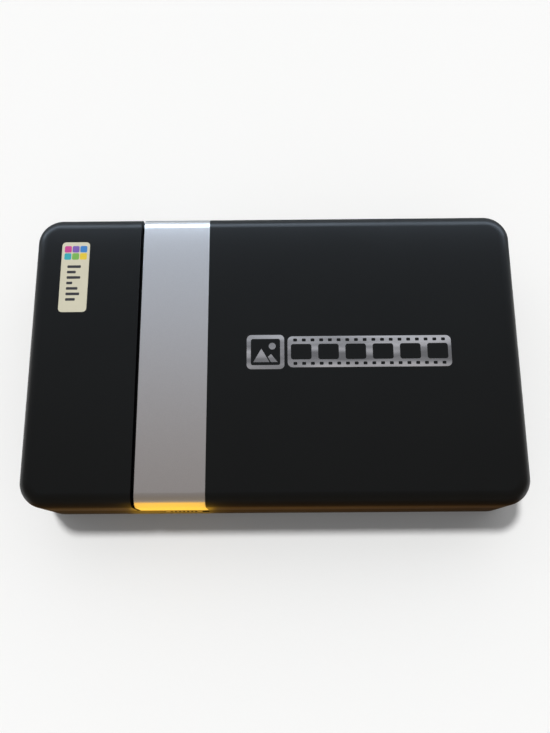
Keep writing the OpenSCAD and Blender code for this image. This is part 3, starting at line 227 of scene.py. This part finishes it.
finnedSink = {"colour": (0.52, 0.53, 0.54), "rough": 0.4, "grain": 0.25 * mm,
              "stretch": (1, 0.08, 1), "depth": 0.006 * mm}
tinShield = {"colour": (0.60, 0.60, 0.57), "rough": 0.3, "grain": 0.5 * mm,
             "stretch": (1, 1, 1), "depth": 0.004 * mm, "spread": 0.06}

# The silver band is satin paint: fine flakes in a soft clear coat
bandPaint = {"colour": (0.66, 0.665, 0.675), "rough": 0.29, "metal": 0.9, "coat": 0.1,
             "coatRough": 0.3, "flake": 0.09 * mm, "flakeSpread": 0.05, "depth": 0.002 * mm,
             "edge": 0.15 * mm}


def satinSilver(name, look):
    finish, tree, shader = startFinish(name, look)
    flakes = tree.nodes.new("ShaderNodeTexVoronoi")
    flakes.inputs["Scale"].default_value = 1 / look["flake"]
    tree.links.new(place(tree), flakes.inputs["Vector"])
    tone = span(tree, flakes.outputs["Color"], 0, 1, 0, 1)
    tinted(tree, shader, tone, *aroundTone(look["colour"], look["flakeSpread"]), 0, 1)
    surfaced(tree, shader, grain(tree, look["flake"], detail=1), look["depth"], look["edge"])
    return finish


# Solder mask over copper: the tracks lie under the lacquer as a paler, raised pattern.
# Eight tracks lie side by side in one repeat of it.
boardLacquer = {"colour": (0.012, 0.11, 0.045), "trackColour": (0.03, 0.2, 0.08),
                "rough": 0.28, "coat": 0.3, "track": 0.7 * mm, "tracks": 8,
                "trackWidth": 0.16, "trackLength": 0.9, "trackSoft": 0.1, "stagger": 0.37,
                "shorter": 0.6, "shorterEvery": 3, "toneFrom": 0.4, "toneTo": 0.6,
                "depth": 0.02 * mm, "edge": 0.08 * mm}


def lacqueredBoard(name, look):
    finish, tree, shader = startFinish(name, look)
    tracks = tree.nodes.new("ShaderNodeTexBrick")
    tracks.offset = look["stagger"]
    tracks.squash = look["shorter"]
    tracks.squash_frequency = look["shorterEvery"]
    count = look["tracks"]
    for socket, number in (("Scale", 1 / (count * look["track"])),
                           ("Mortar Size", look["trackWidth"] / count),
                           ("Brick Width", look["trackLength"]), ("Row Height", 1 / count),
                           ("Mortar Smooth", look["trackSoft"])):
        tracks.inputs[socket].default_value = number
    tree.links.new(place(tree), tracks.inputs["Vector"])
    tinted(tree, shader, tracks.outputs["Fac"], look["colour"], look["trackColour"],
           look["toneFrom"], look["toneTo"])
    surfaced(tree, shader, tracks.outputs["Fac"], look["depth"], look["edge"])
    return finish


# Shrink film over the cells: dark blue, glossy, drawn into slack wrinkles at the ends
cellFilm = {"colour": (0.03, 0.06, 0.14), "spread": 0.15, "rough": 0.26, "coat": 0.6,
            "coatRough": 0.12, "wrinkle": 5 * mm, "stretch": (0.35, 1, 1),
            "depth": 0.25 * mm, "edge": 0.4 * mm}


def shrinkFilm(name, look):
    finish, tree, shader = startFinish(name, look)
    wrinkles = grain(tree, look["wrinkle"], look["stretch"], detail=2)
    tinted(tree, shader, wrinkles, *aroundTone(look["colour"], look["spread"]))
    surfaced(tree, shader, wrinkles, look["depth"], look["edge"])
    return finish


# Flat cable: amber film with the conductors showing through as paler stripes along it
cableFilm = {"colour": (0.34, 0.13, 0.015), "stripeColour": (0.62, 0.34, 0.10),
             "rough": 0.24, "coat": 0.4, "pitch": 0.5 * mm, "toneFrom": 0.45, "toneTo": 0.6,
             "depth": 0.03 * mm}
wavePeriod = math.pi / 10  # of the wave texture at a scale of 1


def flatCableFilm(name, look):
    finish, tree, shader = startFinish(name, look)
    stripes = tree.nodes.new("ShaderNodeTexWave")
    stripes.bands_direction = "Y"
    stripes.inputs["Scale"].default_value = wavePeriod / look["pitch"]
    tree.links.new(place(tree), stripes.inputs["Vector"])
    tinted(tree, shader, stripes.outputs["Fac"], look["colour"], look["stripeColour"],
           look["toneFrom"], look["toneTo"])
    surfaced(tree, shader, stripes.outputs["Fac"], look["depth"], 0)
    return finish


finishes = {
    "shell_black": moulded("soft_touch_black", softTouch),
    "case_black": moulded("case_black", caseSkin),
    "band_silver": satinSilver("band_silver", bandPaint),
    "label_cream": moulded("label_film", labelFilm),
    "steel": metalWorked("ground_steel", groundSteel),
    "zinc": metalWorked("zinc_screw", zincScrew),
    "spring_steel": metalWorked("spring_wire", springWire),
    "rubber_black": moulded("foot_rubber", footRubber),
    "platen_rubber": moulded("platen_rubber", platenRubber),
    "rubber_grey": moulded("roller_rubber", rollerRubber),
    "button_grey": moulded("button_skin", buttonSkin),
    "light_clear": moulded("light_guide", guideResin),
    "led_green": moulded("lamp_resin", lampResin),
    "tray_grey": moulded("tray_skin", traySkin),
    "head_ceramic": moulded("head_glaze", headGlaze),
    "heatsink": metalWorked("finned_sink", finnedSink),
    "plate_metal": metalWorked("zinc_sheet", zincSheet),
    "brass": metalWorked("turned_brass", turnedBrass),
    "gear_white": moulded("gear_resin", gearResin),
    "motor_steel": metalWorked("drawn_can", drawnCan),
    "board_green": lacqueredBoard("board_lacquer", boardLacquer),
    "chip_black": moulded("chip_resin", chipResin),
    "shield_tin": metalWorked("tin_shield", tinShield),
    "jack_black": moulded("jack_resin", jackResin),
    "battery_blue": shrinkFilm("cell_film", cellFilm),
    "switch_ivory": moulded("switch_resin", switchResin),
    "flex_amber": flatCableFilm("cable_film", cableFilm),
    "lead_red": moulded("lead_sleeve", leadSleeve),
}

wearing = {
    "shell_black": ["end_cover", "paper_door"],
    "case_black": ["bottom_case", "battery_door"],
    "band_silver": ["door_band"],
    "label_cream": ["colour_label"],
    "steel": ["hinge_pin", "pick_shaft", "feed_shaft", "pinch_shaft", "platen_shaft",
              "motor_shaft", "gear_axles"],
    "zinc": ["case_screws", "tray_screws", "plate_screws", "board_screws"],
    "spring_steel": ["pressure_springs", "head_springs"],
    "rubber_black": ["rubber_feet"],
    "platen_rubber": ["platen_roller"],
    "rubber_grey": ["pick_roller", "feed_roller", "pinch_roller"],
    "button_grey": ["latch_slide", "latch_grip", "power_button"],
    "light_clear": ["light_pipes"],
    "led_green": ["status_leds"],
    "tray_grey": ["paper_tray", "pressure_plate", "exit_guide", "feed_guide"],
    "head_ceramic": ["print_head"],
    "heatsink": ["head_heatsink"],
    "plate_metal": ["gear_side_plate", "latch_side_plate", "bridge_plate", "door_catch"],
    "brass": ["shaft_bushes", "motor_pinion"],
    "gear_white": ["reduction_gear", "platen_gear", "idler_gear_1", "idler_gear_2",
                   "feed_gear", "transfer_gear", "pick_gear"],
    "motor_steel": ["feed_motor"],
    "board_green": ["main_board"],
    "chip_black": ["board_chips", "paper_sensor"],
    "shield_tin": ["wireless_module", "usb_socket"],
    "jack_black": ["dc_jack", "battery_contacts"],
    "battery_blue": ["battery_pack"],
    "switch_ivory": ["button_switch"],
    "flex_amber": ["head_flex"],
    "lead_red": ["motor_leads"],
}
for finishName, wearers in wearing.items():
    for wearer in wearers:
        nodes[wearer].data.materials.clear()
        nodes[wearer].data.materials.append(finishes[finishName])
print("finishes given to", sum(len(wearers) for wearers in wearing.values()), "pieces")

# Springs copied onto their bodies in place of the frame's pieces, which are hidden; the copies keep
# the frame's shape. Each lists the end that stays put and the travel, how far the other end is
# pushed at the joint's limit, but neither is used.
coils = {
    "pressure_coils": {"node": "pressure_springs", "body": "door", "joint": "plate_press",
                       "stays": "top", "travel": 2.6 * mm},
    "head_coils": {"node": "head_springs", "body": "base", "joint": "head_pivot",
                   "stays": "foot", "travel": 0.61 * mm},
}


def givingCoils(name, look):
    coil = bpy.data.objects.new(name, nodes[look["node"]].data.copy())
    scene.collection.objects.link(coil)
    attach(coil, look["body"])
    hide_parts(look["node"])
    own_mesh(coil)


for coilName, coilLook in coils.items():
    givingCoils(coilName, coilLook)


# Flat prints: outlines in millimetres become a thin printed film on top of a surface
def roundedOutline(centre, width, height, radius, steps=6):
    points = []
    for corner, (sx, sy) in enumerate(((1, 1), (-1, 1), (-1, -1), (1, -1))):
        for step in range(steps + 1):
            turn = math.radians(90 * (corner + step / steps))
            points.append((centre[0] + sx * (width / 2 - radius) + radius * math.cos(turn),
                           centre[1] + sy * (height / 2 - radius) + radius * math.sin(turn)))
    return points


def roundOutline(centre, radius, steps=32):
    return [(centre[0] + radius * math.cos(2 * math.pi * k / steps),
             centre[1] + radius * math.sin(2 * math.pi * k / steps)) for k in range(steps)]


def printFilm(name, outlines, surface, thickness, finish, body):
    # an outline inside another one is a hole in it
    drawn = bpy.data.curves.new(name, "CURVE")
    drawn.dimensions = "2D"
    drawn.fill_mode = "BOTH"
    drawn.extrude = thickness / 2
    for outline in outlines:
        line = drawn.splines.new("POLY")
        line.points.add(len(outline) - 1)
        line.use_cyclic_u = True
        for point, (x, y) in zip(line.points, outline):
            point.co = (x * mm, y * mm, 0, 1)
    sketch = bpy.data.objects.new(name + "_sketch", drawn)
    scene.collection.objects.link(sketch)
    bpy.context.view_layer.update()
    ready = sketch.evaluated_get(bpy.context.evaluated_depsgraph_get())
    film = bpy.data.objects.new(name, bpy.data.meshes.new_from_object(ready))
    bpy.data.objects.remove(sketch)
    scene.collection.objects.link(film)
    film.data.transform(Matrix.Translation((0, 0, surface)))
    film.data.materials.clear()
    film.data.materials.append(finish)
    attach(film, body)
    return film


# Hot-foil print on the paper door: a framed picture of two hills under a sun, then a strip of
# film. The sun is placed from the picture's middle, the hills from there along its ground line.
foilPrint = {"thickness": 0.024 * mm, "frame": (-1.95, 0.35), "frameSize": (9.1, 8.6),
             "frameCorner": 1.1, "border": 1.0, "innerCorner": 0.5,
             "sun": (1.65, 1.45), "sunRadius": 0.85, "groundRise": 0.75,
             "bigHill": ((-2.95, 0), (0.95, 0), (-1.0, 3.4)),
             "smallHill": ((1.3, 0), (2.95, 0), (1.35, 2.0), (0.55, 1.3)),
             "strip": (23.2, 0.35), "stripSize": (39.6, 7.8), "stripCorner": 1.2,
             "windows": 6, "windowSize": (5.0, 3.9), "windowCorner": 0.6,
             "holes": 18, "holeSize": (0.95, 0.75), "holeCorner": 0.2, "holeRow": 2.95,
             "plainEnds": 1.6}
foilLook = {"colour": (0.80, 0.81, 0.82), "rough": 0.17, "metal": 1, "bands": 3.2 * mm,
            "bandStretch": (0.12, 1, 1), "darker": 0.38, "lighter": 1.12, "toneFrom": 0.34,
            "toneTo": 0.6, "dull": 0.3, "bright": 0.12, "press": 0.18 * mm,
            "depth": 0.004 * mm}


def brushedFoil(name, look):
    # the foil is pressed into the skin's texture, so soft lighter and darker bands cross it
    finish, tree, shader = startFinish(name, look)
    bands = grain(tree, look["bands"], look["bandStretch"], detail=2)
    tinted(tree, shader, bands, shaded(look["colour"], look["darker"]),
           shaded(look["colour"], look["lighter"]), look["toneFrom"], look["toneTo"])
    press = grain(tree, look["press"], detail=2)
    rough = span(tree, bands, look["dull"], look["bright"])
    tree.links.new(rough, shader.inputs["Roughness"])
    surfaced(tree, shader, press, look["depth"], 0)
    return finish


foil = brushedFoil("pressed_foil", foilLook)
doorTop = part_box("paper_door")[1].z
frameX, frameY = foilPrint["frame"]
frameW, frameH = foilPrint["frameSize"]
inner = (frameW - 2 * foilPrint["border"], frameH - 2 * foilPrint["border"])
ground = frameY - inner[1] / 2 + foilPrint["groundRise"]
sunX, sunY = foilPrint["sun"]
pictureFrame = [
    roundedOutline((frameX, frameY), frameW, frameH, foilPrint["frameCorner"]),
    roundedOutline((frameX, frameY), *inner, foilPrint["innerCorner"]),
    roundOutline((frameX + sunX, frameY + sunY), foilPrint["sunRadius"]),
]
for hill in ("bigHill", "smallHill"):
    pictureFrame.append([(frameX + x, ground + y) for x, y in foilPrint[hill]])
printFilm("foil_picture", pictureFrame, doorTop, foilPrint["thickness"], foil, "door")

stripX, stripY = foilPrint["strip"]
stripW, stripH = foilPrint["stripSize"]
filmStrip = [roundedOutline((stripX, stripY), stripW, stripH, foilPrint["stripCorner"])]
for window in range(foilPrint["windows"]):
    atX = stripX + stripW * ((window + 0.5) / foilPrint["windows"] - 0.5)
    filmStrip.append(roundedOutline((atX, stripY), *foilPrint["windowSize"],
                                    foilPrint["windowCorner"]))
rowLength = stripW - foilPrint["plainEnds"]
for hole in range(foilPrint["holes"]):
    atX = stripX + rowLength * ((hole + 0.5) / foilPrint["holes"] - 0.5)
    for side in (-1, 1):
        filmStrip.append(roundedOutline((atX, stripY + side * foilPrint["holeRow"]),
                                        *foilPrint["holeSize"], foilPrint["holeCorner"]))
printFilm("foil_strip", filmStrip, doorTop, foilPrint["thickness"], foil, "door")

# The label's print: two rows of colour patches at its head and plain dark marks below them
labelPrint = {"thickness": 0.02 * mm, "columns": 3, "patch": 1.75, "patchGap": 0.2,
              "patchCorner": 0.35, "headInset": 1.9, "markPitch": 1.45, "markHeight": 0.7,
              "markCorner": 0.2, "markStart": 6.6, "markLeft": 1.9,
              "markLengths": (3.4, 2.2, 3.4, 1.5, 2.9, 3.4, 2.4)}
patchColours = {"magenta": (0.52, 0.05, 0.26), "violet": (0.18, 0.10, 0.42),
                "blue": (0.04, 0.20, 0.52), "teal": (0.03, 0.36, 0.42),
                "green": (0.18, 0.42, 0.08), "yellow": (0.70, 0.52, 0.04)}
markColour = (0.03, 0.03, 0.035)
inkLook = {"rough": 0.32, "grain": 0.25 * mm, "depth": 0.002 * mm, "clouds": 2 * mm,
           "spread": 0.05, "edge": 0}
labelLow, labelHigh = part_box("colour_label")
labelX = (labelLow.x + labelHigh.x) / 2 / mm
headY = labelHigh.y / mm - labelPrint["headInset"]
patch = labelPrint["patch"]
patchStep = patch + labelPrint["patchGap"]
for index, (colourName, colour) in enumerate(patchColours.items()):
    ink = moulded("ink_" + colourName, dict(inkLook, colour=colour))
    row, column = divmod(index, labelPrint["columns"])
    centre = (labelX + (column - 1) * patchStep, headY - row * patchStep)
    outline = roundedOutline(centre, patch, patch, labelPrint["patchCorner"])
    printFilm("label_patch_" + colourName, [outline], labelHigh.z, labelPrint["thickness"],
              ink, "base")
darkInk = moulded("ink_dark", dict(inkLook, colour=markColour))
marks = []
for index, length in enumerate(labelPrint["markLengths"]):
    atY = labelHigh.y / mm - labelPrint["markStart"] - index * labelPrint["markPitch"]
    atX = labelX - labelPrint["markLeft"] + length / 2
    marks.append(roundedOutline((atX, atY), length, labelPrint["markHeight"],
                                labelPrint["markCorner"]))
printFilm("label_marks", marks, labelHigh.z, labelPrint["thickness"], darkInk, "base")
print("prints laid on the door and the label")


# Studio: white table, a sky that is bright towards the back and dim in front, a soft key and
# low cards. The sky's steps run from the front, 0, to the back, 1. What the front lacks on
# matt surfaces is made up to frontFill.
studio = {"tableColour": (0.91, 0.91, 0.91), "tableSize": 3.0, "paperGrain": 0.8 * mm,
          "paperTone": 0.995, "backdrop": (0.95, 0.95, 0.95), "skyLevel": 1.0,
          "skySteps": ((0.0, (0.34, 0.30, 0.26)), (0.15, (0.22, 0.165, 0.11)),
                       (0.36, (0.215, 0.172, 0.142)), (0.5, (0.205, 0.165, 0.14)),
                       (0.6, (0.325, 0.27, 0.235)), (0.7, (0.61, 0.68, 0.79)),
                       (0.82, (0.64, 0.71, 0.81)), (1.0, (0.56, 0.61, 0.67))),
          "frontFill": 0.28, "keyStrength": 2.15, "keyFrom": (-0.24, 0.36, 1.5),
          "keyAngle": 6.5, "keyColour": (1, 1, 0.99)}
scene.view_settings.view_transform = "Standard"


def whiteTable(look):
    half = look["tableSize"] / 2
    corners = [(-half, -half, 0), (half, -half, 0), (half, half, 0), (-half, half, 0)]
    mesh = bpy.data.meshes.new("table")
    mesh.from_pydata(corners, [], [(0, 1, 2, 3)])
    table = bpy.data.objects.new("table", mesh)
    scene.collection.objects.link(table)
    matt = {"colour": look["tableColour"], "rough": 1, "shine": 0}
    finish, tree, shader = startFinish("table_paper", matt)
    paper = grain(tree, look["paperGrain"], detail=4)
    tinted(tree, shader, paper, shaded(look["tableColour"], look["paperTone"]),
           look["tableColour"])
    mesh.materials.append(finish)


def daySky(look):
    world = bpy.data.worlds.new("sky")
    scene.world = world
    world.use_nodes = True
    tree = world.node_tree
    background = tree.nodes["Background"]
    background.inputs["Strength"].default_value = look["skyLevel"]
    towards = tree.nodes.new("ShaderNodeTexCoord")
    parts = tree.nodes.new("ShaderNodeSeparateXYZ")
    tree.links.new(towards.outputs["Generated"], parts.inputs["Vector"])
    tones = toneRamp(tree, span(tree, parts.outputs["Y"], 0, 1, -1, 1), look["skySteps"])
    # matt surfaces get the same sky without its tints, and the camera sees a plain backdrop
    grey = tree.nodes.new("ShaderNodeRGBToBW")
    tree.links.new(tones, grey.inputs["Color"])
    fill = tree.nodes.new("ShaderNodeMath")
    fill.operation = "MAXIMUM"
    fill.inputs[1].default_value = look["frontFill"]
    tree.links.new(grey.outputs["Val"], fill.inputs[0])
    path = tree.nodes.new("ShaderNodeLightPath")
    lit, seen = tree.nodes.new("ShaderNodeMix"), tree.nodes.new("ShaderNodeMix")
    lit.data_type = seen.data_type = "RGBA"
    tree.links.new(path.outputs["Is Diffuse Ray"], lit.inputs["Factor"])
    tree.links.new(tones, lit.inputs["A"])
    tree.links.new(fill.outputs["Value"], lit.inputs["B"])
    tree.links.new(path.outputs["Is Camera Ray"], seen.inputs["Factor"])
    tree.links.new(lit.outputs["Result"], seen.inputs["A"])
    seen.inputs["B"].default_value = (*look["backdrop"], 1)
    tree.links.new(seen.outputs["Result"], background.inputs["Color"])


def keySun(look):
    # a soft sun that shines on the middle of the printer and isn't mirrored in it
    sun = bpy.data.lights.new("key", "SUN")
    sun.energy = look["keyStrength"]
    sun.color = look["keyColour"]
    sun.angle = math.radians(look["keyAngle"])
    lamp = bpy.data.objects.new("key", sun)
    scene.collection.objects.link(lamp)
    lamp.location = look["keyFrom"]
    lamp.rotation_euler = (-Vector(look["keyFrom"])).to_track_quat("-Z", "Y").to_euler()
    lamp.visible_glossy = False


whiteTable(studio)
daySky(studio)
keySun(studio)

# Low cards that only shiny surfaces see. The warm one curves up just in front and gives the
# gold line along the front edge. The window card, just behind and above the back edge, gives
# the bright line along it. The dark card makes the table behind look dimmer. Each has its
# profile in Y and Z in millimetres, and its tones along X in metres.
windowTone, darkTone = (5.9, 7.0, 8.4), (0.27, 0.31, 0.35)
cards = {
    "warm_card": {"profile": ((-37.3, 0.5), (-43, 0.5), (-47, 2), (-49.5, 6), (-49.5, 25.5)),
                  "tones": ((-0.075, (0.25, 0.14, 0.05)), (-0.0378, (0.3, 0.16, 0.055)),
                            (-0.0362, (1.8, 0.96, 0.086)), (-0.0172, (1.8, 0.96, 0.086)),
                            (-0.0156, (0.3, 0.15, 0.045)), (0.075, (0.13, 0.065, 0.024)))},
    "window_card": {"profile": ((40.7, 26.9), (40.7, 32)),
                    "tones": ((-0.08, windowTone), (0.08, windowTone))},
    "dark_card": {"profile": ((38, 0.5), (130, 0.5)),
                  "tones": ((-0.16, darkTone), (0.16, darkTone))},
}


def lowCard(name, look):
    first, last = look["tones"][0][0], look["tones"][-1][0]
    points = [(x, y * mm, z * mm) for y, z in look["profile"] for x in (first, last)]
    faces = [(2 * k, 2 * k + 1, 2 * k + 3, 2 * k + 2) for k in range(len(look["profile"]) - 1)]
    mesh = bpy.data.meshes.new(name)
    mesh.from_pydata(points, [], faces)
    card = bpy.data.objects.new(name, mesh)
    scene.collection.objects.link(card)
    for ray in ("camera", "diffuse", "shadow", "transmission", "volume_scatter"):
        setattr(card, "visible_" + ray, False)
    finish = bpy.data.materials.new(name + "_glow")
    finish.use_nodes = True
    tree = finish.node_tree
    tree.nodes.clear()
    parts = tree.nodes.new("ShaderNodeSeparateXYZ")
    tree.links.new(place(tree), parts.inputs["Vector"])
    stops = [((at - first) / (last - first), tone) for at, tone in look["tones"]]
    tones = toneRamp(tree, span(tree, parts.outputs["X"], 0, 1, first, last), stops)
    glow = tree.nodes.new("ShaderNodeEmission")
    tree.links.new(tones, glow.inputs["Color"])
    result = tree.nodes.new("ShaderNodeOutputMaterial")
    tree.links.new(glow.outputs["Emission"], result.inputs["Surface"])
    mesh.materials.append(finish)


for cardName, cardLook in cards.items():
    lowCard(cardName, cardLook)

# Camera, from the photograph's perspective: the printer is seen from almost straight above.
# The height and the focal length are in the photograph's pixels, the place is in millimetres.
photo = {"height": 733, "focal": 760, "at": (1.616, -51.059, 200.179), "roll": -0.477,
         "pitch": 15.118, "yaw": 0.526, "sensor": 36, "nearest": 0.005}
lens = bpy.data.cameras.new("camera")
lens.sensor_width = photo["sensor"]
lens.lens = photo["focal"] / photo["height"] * photo["sensor"]
lens.clip_start = photo["nearest"]
camera = bpy.data.objects.new("camera", lens)
scene.collection.objects.link(camera)
roll, pitch, yaw = (Matrix.Rotation(math.radians(photo[turn]), 4, axis)
                    for turn, axis in (("roll", "Z"), ("pitch", "X"), ("yaw", "Y")))
camera.matrix_world = Matrix.Translation(Vector(photo["at"]) * mm) @ (roll @ pitch @ yaw)
scene.camera = camera
print("studio and camera set")
